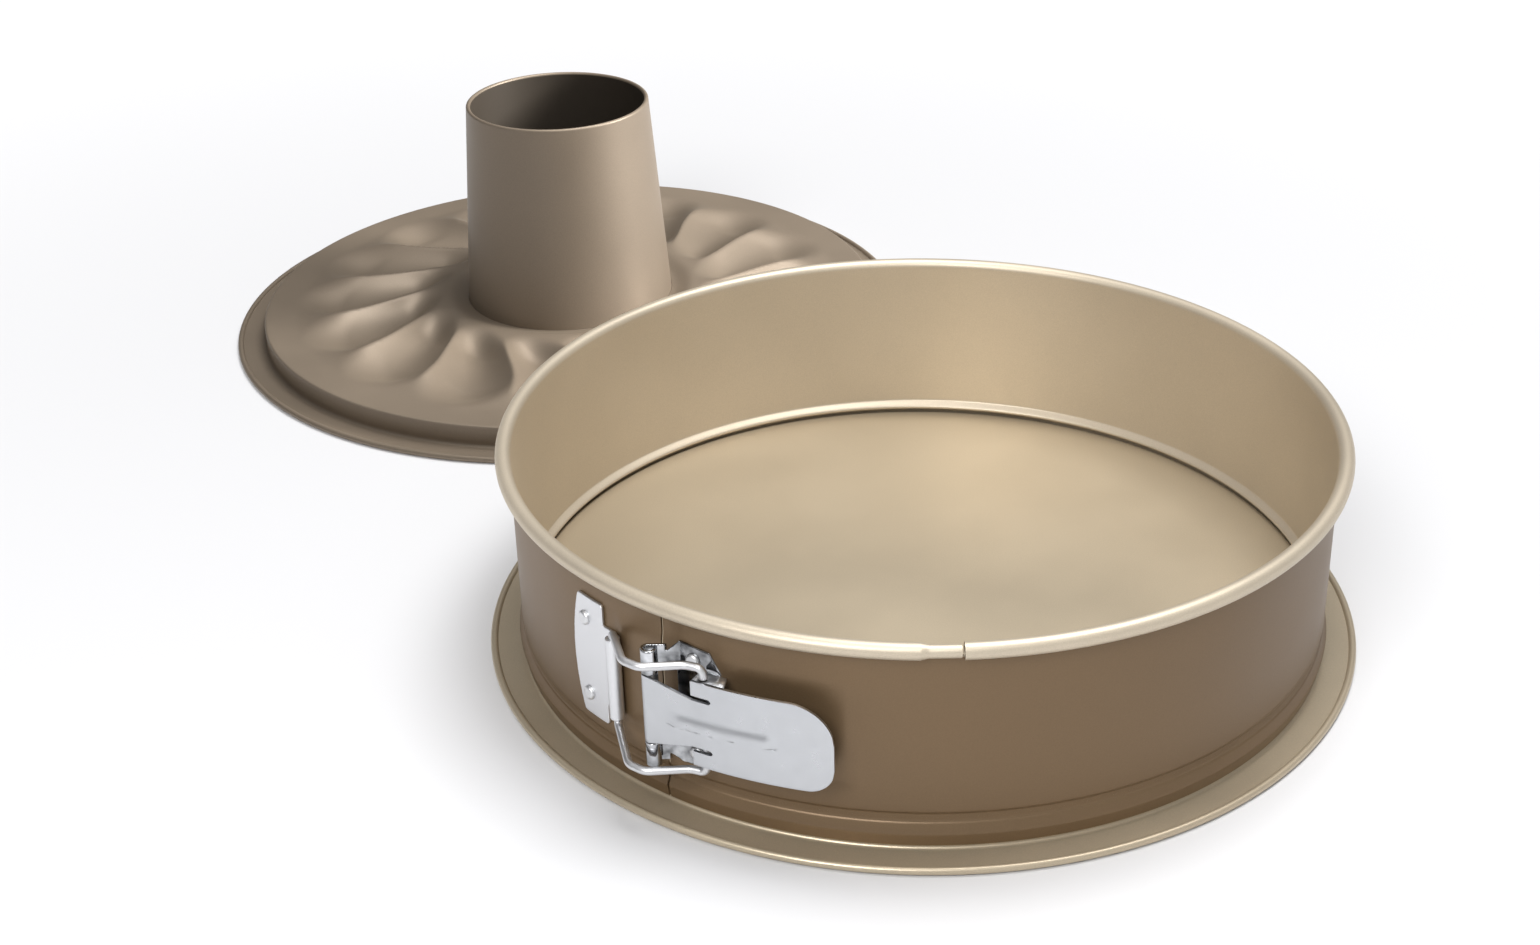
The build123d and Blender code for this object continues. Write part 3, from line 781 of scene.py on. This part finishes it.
class PAN_OT_ring(Operator):
    """Spring band: wall with bead, skirt, pressed panel and rolled rim, its lapped ends and its splice"""

    bl_idname = "pan.ring"
    bl_label = "Spring band"

    def execute(self, context):
        left = self.make_left()
        right = self.make_right()
        for piece, name, side in ((left, "left", -1), (right, "right", 1)):
            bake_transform(piece)
        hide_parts("ring_band_left", "ring_band_back")
        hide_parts("ring_band_right")
        return {"FINISHED"}

    def make_left(self):
        build = bmesh.new()
        section = rimmed_outline()
        seam = 1.5 * math.pi
        end = seam - SEAM_HALF_GAP / RIM_OUTER
        wide = steps_between(math.pi / 2, end - SEAM_FINE / RIM_OUTER, WIDE_STEP)
        fine = steps_between(end - SEAM_FINE / RIM_OUTER, end, FINE_STEP)
        angles = wide[:-1] + fine
        wall_outer = wall_radius() + sizes().sheet
        outlines = [press_panel(section, (angle - seam) * wall_outer) for angle in angles]
        add_swept_band(build, outlines, angles)
        self.add_tongue(build)
        return self.finish_band(build, "ring_band_left_finished")

    def add_tongue(self, build):
        """Inner tongue past the seam, carrying the rim on to the splice and its narrow neck."""
        own = sizes()
        wall = wall_radius()
        middle = roll_middle()
        face = wall - TONGUE_ROOM - own.sheet
        foot = PLATEAU_TOP + TONGUE_LIFT + own.bead_height
        line = rounded([(face, foot), (face, roll_underside()), (wall, middle[1])], TONGUE_BEND, 4)
        section = thicken(divide_long(line, TONGUE_FACE_LENGTH) + rim_roll(), own.sheet)
        splice = seam_angle(SPLICE_ARC)
        angles = steps_between(-math.pi / 2 - SEAM_HALF_GAP / RIM_OUTER, splice, TONGUE_STEP)
        add_swept_band(build, [section] * len(angles), angles)
        neck_start = splice + NECK_START / RIM_OUTER
        neck_angles = steps_between(neck_start, splice + NECK_LENGTH / RIM_OUTER, NECK_STEP)
        neck_outlines = []
        for angle in neck_angles:
            shoulder = smoothstep(splice, splice + NECK_SHOULDER / RIM_OUTER, angle)
            radius = own.rim_radius - NECK_ROOM - NECK_SLIMMER * shoulder
            roll = arc_points(middle, radius, 0, NECK_ROLL_END, NECK_ROLL_STEPS)
            neck_outlines.append(list(reversed(roll)))
        add_swept_band(build, neck_outlines, neck_angles)

    def make_right(self):
        build = bmesh.new()
        wall_outer = wall_radius() + sizes().sheet
        mouth = seam_angle(MOUTH_ARC)
        lap = lap_outline()
        lap_angles = steps_between(-math.pi / 2 + SEAM_HALF_GAP / RIM_OUTER, mouth, FINE_STEP)
        lap_outlines = [press_panel(lap, (angle + math.pi / 2) * wall_outer) for angle in lap_angles]
        add_swept_band(build, lap_outlines, lap_angles)
        wide = steps_between(mouth, math.pi / 2, WIDE_STEP)
        add_swept_band(build, [rimmed_outline()] * len(wide), wide)
        return self.finish_band(build, "ring_band_right_finished")

    def finish_band(self, build, name):
        """The band's piece: a darker bronze on its outer faces below the roll, partly the coat's own colour
        and partly painted shade on the outer wall, and champagne elsewhere.
        """
        bmesh.ops.recalc_face_normals(build, faces=build.faces)
        coat_radius = wall_radius() + 0.5 * sizes().sheet - COAT_REACH
        for face in build.faces:
            middle = face.calc_center_median()
            outward = face.normal.xy.dot(middle.xy) > -COAT_LEAN * middle.xy.length
            outside = outward and middle.z < roll_underside() and middle.xy.length > coat_radius
            face.material_index = 1 if outside else 0
        piece = new_piece(name, as_mesh(build, name), band_coat(), None, 45)
        piece.data.materials.append(outside_coat_with_painted_shade())
        return piece


# ---- latch ----
# the lever's sheet: its curl round the pin, and the rows and columns of its grid
PIN_BORE = 1.45 * MM
CURL_TURN = math.radians(255)
CURL_STEPS = 36
# arc length given to every point of the curl, before the tongue's own
CURL_MARK = -1.0
TONGUE_STEPS = 28
PLATE_STEPS = 80
CORE_ROWS = 69
WING_ROWS = 7
TOP_CORNER = 12.6 * MM
LOW_CORNER = 7.5 * MM

# the lever's rib, which climbs a little towards the thumb
RIB_START = 5 * MM
RIB_DROP = -0.1 * MM
RIB_SLOPE = 0.022
RIB_HALF = 2.7 * MM
RIB_RISING = (5.5 * MM, 11.5 * MM)
RIB_FADING = (35.5 * MM, 39.5 * MM)

# the lever's ears and their holes for the wire's hooks
HOOK_ARC = 17 * MM
HOOK_OFF = 5.6 * MM
HOOK_HOLE = 1.5 * MM
HOLE_STEPS = 20
EAR_END = 24 * MM
EAR_DEPTH = 4.8 * MM
EAR_SLANT = 1.5 * MM
EAR_STEPS = 10

BRACKET_VOXEL = 0.2 * MM


def latch_spot(arc, off):
    """Plan position by arc length along the wall from the seam and distance off the wall."""
    reach = wall_radius() + sizes().sheet + off
    angle = seam_angle(arc)
    return Vector((reach * math.cos(angle), reach * math.sin(angle)))


def pin_spot():
    return Vector(joints["lever_swing"]["pos_m"]).xy


def latch_height():
    """Height of the latch's middle."""
    return joints["lever_swing"]["pos_m"][2]


def lever_path():
    """Plan line of the lever's sheet, by arc length: a curl round the pin, a tongue and the thumb plate."""
    own = sizes()
    pin = pin_spot()
    curl = PIN_BORE + own.latch_sheet / 2
    off = own.lever_off + own.latch_sheet / 2
    root = latch_spot(own.lever_root, off)
    gap = root - pin
    touch = math.atan2(gap.y, gap.x) - math.acos(curl / gap.length)
    path = []
    for step in range(CURL_STEPS + 1):
        angle = touch - CURL_TURN * (1 - step / CURL_STEPS)
        path.append((pin + Vector((math.cos(angle), math.sin(angle))) * curl, CURL_MARK))
    touch_point = path[-1][0]
    for step in range(1, TONGUE_STEPS + 1):
        share = step / TONGUE_STEPS
        path.append((touch_point.lerp(root, share), own.lever_root * share))
    for step in range(1, PLATE_STEPS + 1):
        arc = own.lever_root + (own.lever_end - own.lever_root) * step / PLATE_STEPS
        path.append((latch_spot(arc, off), arc))
    return path


def lever_edge(arc, side):
    """Half height of the lever's outline above (side 1) or below (side -1) its middle."""
    own = sizes()
    corner = TOP_CORNER if side > 0 else LOW_CORNER
    short = corner - (own.lever_end - arc)
    if short <= 0:
        return own.lever_half
    return own.lever_half - corner + math.sqrt(max(0.0, corner * corner - short * short))


def rib_height(arc, height):
    """Pressed rib: a soft swell with a crisp lower edge, fading out at both ends."""
    middle = RIB_DROP + RIB_SLOPE * (arc - RIB_START)
    across = (height - middle) / RIB_HALF
    if abs(across) > 1.2:
        return 0.0
    swell = smoothstep(1.0, -0.5, across) * smoothstep(-0.95, -0.80, across)
    crease = max(0.0, 1 - ((across + 0.98) / 0.18) ** 2)
    along = smoothstep(*RIB_RISING, arc) * (1 - smoothstep(*RIB_FADING, arc))
    return sizes().rib_rise * (swell - crease) * along


class PAN_OT_lever(Operator):
    """Lever: curled tongue, relief slots, pressed rib, rounded thumb plate and folded ears"""

    bl_idname = "pan.lever"
    bl_label = "Latch lever"

    def execute(self, context):
        build = bmesh.new()
        self.add_sheet(build)
        mesh = as_mesh(build, "latch_lever_finished")
        # the lever's darker steel paints its shade
        piece = new_piece("latch_lever_finished", mesh, lever_steel_painted_shade(), "lever", 40)
        add_wall(piece, sizes().latch_sheet).use_even_offset = True
        edge = piece.modifiers.new("edge", "BEVEL")
        edge.width = 0.16 * MM
        edge.segments = 2
        edge.limit_method = "ANGLE"
        edge.angle_limit = math.radians(50)
        settle(piece)
        self.make_ears().parent = piece
        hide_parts("latch_lever")
        return {"FINISHED"}

    def rows(self, arc):
        """Heights of the sheet's rows at an arc length, from the bottom edge to the top one."""
        own = sizes()
        tip = own.tongue_tip
        slot = own.slot_width
        slot_end = own.lever_root + own.slot_reach
        if arc < own.lever_root:
            share = max(0.0, arc) / own.lever_root
            tip += (own.tongue_root - tip) * (1 - share)
        pinch = max(0.0, arc - (slot_end - slot / 2)) / (slot / 2)
        narrow = slot / 2 * (1 - math.sqrt(max(0.0, 1 - pinch * pinch))) if arc <= slot_end else 0.0
        wings = []
        core_ends = []
        for side in (-1, 1):
            edge = lever_edge(arc, side)
            scale = edge / own.lever_half
            inner = (own.tongue_tip + slot - narrow) * scale
            spacing = (edge - inner) / (WING_ROWS - 1)
            wings.append([side * (inner + spacing * step) for step in range(WING_ROWS)])
            core_ends.append(side * (tip + narrow) * scale)
        low, top = core_ends
        core = [low + (top - low) * step / (CORE_ROWS - 1) for step in range(CORE_ROWS)]
        return list(reversed(wings[0])) + core + wings[1]

    def add_sheet(self, build):
        """The lever's sheet as a grid of rows, with no faces beside the tongue and in the slots."""
        own = sizes()
        z = latch_height()
        path = lever_path()
        slot_end = own.lever_root + own.slot_reach
        low_gap = WING_ROWS - 1
        top_gap = WING_ROWS + CORE_ROWS - 1
        grid = []
        for index, (spot, arc) in enumerate(path):
            before = path[max(index - 1, 0)][0]
            after = path[min(index + 1, len(path) - 1)][0]
            along = (after - before).normalized()
            outward = Vector((along.y, -along.x))
            column = []
            for height in self.rows(arc):
                place = spot + outward * rib_height(arc, height)
                column.append(build.verts.new((place.x, place.y, z + height)))
            grid.append((arc, column))
        for (arc, column), (arc_after, after) in zip(grid, grid[1:]):
            for row in range(len(column) - 1):
                wing = row < low_gap or row > top_gap
                gap = row in (low_gap, top_gap)
                if wing and arc < own.lever_root - ROUNDING:
                    continue
                if gap and arc_after <= slot_end + ROUNDING:
                    continue
                build.faces.new((column[row], after[row], after[row + 1], column[row + 1]))
        loose = [vert for vert in build.verts if not vert.link_faces]
        bmesh.ops.delete(build, geom=loose, context="VERTS")
        bmesh.ops.dissolve_degenerate(build, edges=build.edges, dist=ROUNDING)

    def make_ears(self):
        """Two ears folded towards the wall, which take the wire's hooks."""
        own = sizes()
        hook = latch_spot(HOOK_ARC, HOOK_OFF)
        outline = self.ear_outline()
        hole = []
        for step in range(HOLE_STEPS):
            angle = TAU * step / HOLE_STEPS
            hole.append(hook + HOOK_HOLE * Vector((math.cos(angle), math.sin(angle))))
        build = bmesh.new()
        for side in (-1, 1):
            height = latch_height() + side * (own.lever_half - own.latch_sheet / 2)
            edges = []
            for loop in (outline, hole):
                ring = [build.verts.new((spot.x, spot.y, height)) for spot in loop]
                edges += [build.edges.new(pair) for pair in zip(ring, ring[1:] + ring[:1])]
            bmesh.ops.triangle_fill(build, edges=edges, use_beauty=True)
        ears = new_piece("lever_ears", as_mesh(build, "lever_ears"), plated_steel(), None, 40)
        add_wall(ears, own.latch_sheet)
        settle(ears)
        return ears

    def ear_outline(self):
        """Plan outline of an ear, from the thumb plate in to the wall."""
        own = sizes()
        outer = own.lever_off + own.latch_sheet / 2
        inner = own.lever_off - EAR_DEPTH
        near = own.lever_root
        reach = EAR_END - near
        top = [latch_spot(near + reach * step / EAR_STEPS, outer) for step in range(EAR_STEPS + 1)]
        low = []
        for step in range(EAR_STEPS + 1):
            slant = EAR_SLANT * smoothstep(EAR_STEPS / 2, 0, step)
            low.append(latch_spot(EAR_END - reach * step / EAR_STEPS - slant, inner))
        return top + low


def add_wall(piece, sheet):
    """A modifier that gives a surface its sheet, half to each side."""
    wall = piece.modifiers.new("wall", "SOLIDIFY")
    wall.thickness = sheet
    wall.offset = 0.0
    return wall


def settle(piece):
    """Applies a piece's modifiers to its mesh."""
    depsgraph = bpy.context.evaluated_depsgraph_get()
    finished = bpy.data.meshes.new_from_object(piece.evaluated_get(depsgraph))
    piece.modifiers.clear()
    piece.data = finished


def soften(node, material, body):
    """A CAD bracket's shape with its sheared edges eased, as a new piece that stands for it."""
    shape = frame["nodes"][node].data.copy()
    shape.materials.clear()
    piece = new_piece(node + "_finished", shape, material, body, 60)
    remesh = piece.modifiers.new("remesh", "REMESH")
    remesh.mode = "VOXEL"
    remesh.voxel_size = BRACKET_VOXEL
    ease = piece.modifiers.new("ease", "SMOOTH")
    ease.factor = 0.5
    ease.iterations = 5
    thin = piece.modifiers.new("thin", "DECIMATE")
    thin.decimate_type = "COLLAPSE"
    thin.ratio = 0.35
    settle(piece)
    piece.data.shade_smooth()
    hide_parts(node)


class PAN_OT_latch(Operator):
    """Latch: plated brackets with eased edges, pin and rivets, and the bent wire bail"""

    bl_idname = "pan.latch"
    bl_label = "Latch"

    def execute(self, context):
        soften("strike_bracket", plated_steel(), "ring_left")
        # the hinge bracket takes the steel with painted reflections
        soften("hinge_bracket", mirror_steel_painted_reflections(), "ring_right")
        rivets = [end + "_rivet_" + place for end in ("strike", "hinge") for place in ("upper", "lower")]
        # the pin and the wire take darker steel that paints their shade
        finishes = dict.fromkeys(("hinge_pin", "wire_bail"), wire_steel())
        # the rivets take darker steel that paints their shade
        finishes.update(dict.fromkeys(rivets, rivet_steel()))
        for node, material in finishes.items():
            materials = frame["nodes"][node].data.materials
            materials.clear()
            materials.append(material)
        return {"FINISHED"}


# ---- stage ----
FLOOR_REACH = 6.0
FLOOR_GAP = 0.2 * MM
LAMP_AIM = Vector((0, 0, 30 * MM))
BRIGHT_SIDE = Vector((0.45, -0.10, 0.88))
CAMERA_PLACE = Vector((350.8, -536.1, 393.0)) * MM
CAMERA_LOOK = Vector((-0.5376, 0.7004, -0.4695))
CAMERA_RIGHT = Vector((0.8009, 0.5983, -0.0244))


class PAN_OT_stage(Operator):
    """Stage: pale table top, soft studio lights and the camera"""

    bl_idname = "pan.stage"
    bl_label = "Stage"

    def execute(self, context):
        self.make_floor()
        self.make_lights(context.scene)
        self.make_camera(context.scene)
        return {"FINISHED"}

    def make_floor(self):
        build = bmesh.new()
        bmesh.ops.create_grid(build, x_segments=8, y_segments=8, size=FLOOR_REACH)
        mesh = as_mesh(build, "table_top")
        floor = bpy.data.objects.new("table_top", mesh)
        floor.location.z = -FLOOR_GAP
        mesh.materials.append(make_floor_paint(colours().floor))
        bpy.context.scene.collection.objects.link(floor)

    def make_lights(self, scene):
        """Three soft lamps: one for the pan, one for the tube base, and one from above for everything."""
        scene.view_settings.view_transform = "Standard"
        scene.world = self.make_studio()
        meshes = [piece for piece in bpy.data.objects if piece.type == "MESH"]
        tube_pieces = [piece for piece in meshes if piece.name.startswith("tube_")]
        pan_pieces = [piece for piece in meshes if piece not in tube_pieces]
        self.add_softbox(scene, "pan_softbox", Vector((0.26, -1.20, 1.15)), 0.7, 17.0, pan_pieces)
        self.add_softbox(scene, "tube_softbox", Vector((0.86, 0.78, 0.66)), 0.5, 38.0, tube_pieces)
        self.add_softbox(scene, "top_softbox", Vector((0.12, 0.32, 1.5)), 0.8, 22.0, [])

    def add_softbox(self, scene, name, place, size, watts, lit):
        """A square lamp aimed at the pan, which lights only the given pieces if there are any."""
        lamp = bpy.data.lights.new(name, "AREA")
        lamp.size = size
        lamp.energy = watts
        holder = bpy.data.objects.new(name, lamp)
        holder.location = place
        holder.rotation_euler = (LAMP_AIM - place).to_track_quat("-Z", "Y").to_euler()
        scene.collection.objects.link(holder)
        if lit:
            group = bpy.data.collections.new(name + "_lights")
            for piece in lit:
                group.objects.link(piece)
            holder.light_linking.receiver_collection = group

    def make_studio(self):
        """Surroundings: bright overhead and to the right, greyer low on the left."""
        world = bpy.data.worlds.new("studio")
        world.use_nodes = True
        nodes = world.node_tree.nodes
        links = world.node_tree.links
        background = nodes["Background"]
        background.inputs["Strength"].default_value = 0.52
        place = nodes.new("ShaderNodeTexCoord")
        facing = nodes.new("ShaderNodeVectorMath")
        facing.operation = "DOT_PRODUCT"
        facing.inputs[1].default_value = BRIGHT_SIDE.normalized()
        links.new(place.outputs["Generated"], facing.inputs[0])
        tone = add_ramp(nodes, 0.02, (0.10, 0.10, 0.11), 0.80, (1.0, 1.0, 1.0))
        horizon = tone.color_ramp.elements.new(0.28)
        horizon.color = (0.50, 0.50, 0.51, 1)
        links.new(facing.outputs["Value"], tone.inputs["Fac"])
        links.new(tone.outputs["Color"], background.inputs["Color"])
        return world

    def make_camera(self, scene):
        lens = bpy.data.cameras.new("camera")
        lens.sensor_width = 36.0
        lens.lens = 52.55
        lens.clip_start = 0.01
        camera = bpy.data.objects.new("camera", lens)
        back = -CAMERA_LOOK.normalized()
        up = back.cross(CAMERA_RIGHT.normalized()).normalized()
        right = up.cross(back)
        turn = Matrix((right, up, back)).transposed()
        camera.matrix_world = Matrix.Translation(CAMERA_PLACE) @ turn.to_4x4()
        scene.collection.objects.link(camera)
        scene.camera = camera


# ---- sidebar ----
class PAN_PT_sidebar(Panel):
    """Lists the pan's pieces, sizes and colours"""

    bl_label = "Springform Pan"
    bl_idname = "PAN_PT_sidebar"
    bl_space_type = "VIEW_3D"
    bl_region_type = "UI"
    bl_category = "Springform Pan"

    def draw(self, context):
        for operator in PIECES:
            self.layout.operator(operator.bl_idname)
        for group in (context.scene.pan_sizes, context.scene.pan_colours):
            box = self.layout.box()
            for name in group.bl_rna.properties.keys():
                if name not in ("rna_type", "name"):
                    box.prop(group, name)


PIECES = (PAN_OT_flat_base, PAN_OT_ring, PAN_OT_tube_base, PAN_OT_latch, PAN_OT_lever, PAN_OT_stage)
CLASSES = (PanSizes, PanColours, *PIECES, PAN_PT_sidebar)


def register():
    for cls in CLASSES:
        bpy.utils.register_class(cls)
    bpy.types.Scene.pan_sizes = PointerProperty(type=PanSizes)
    bpy.types.Scene.pan_colours = PointerProperty(type=PanColours)


def unregister():
    del bpy.types.Scene.pan_colours
    del bpy.types.Scene.pan_sizes
    for cls in reversed(CLASSES):
        bpy.utils.unregister_class(cls)


def main():
    register()
    for operator in PIECES:
        family, name = operator.bl_idname.split(".")
        getattr(getattr(bpy.ops, family), name)()
    bpy.context.view_layer.update()


if __name__ == "__main__":
    main()
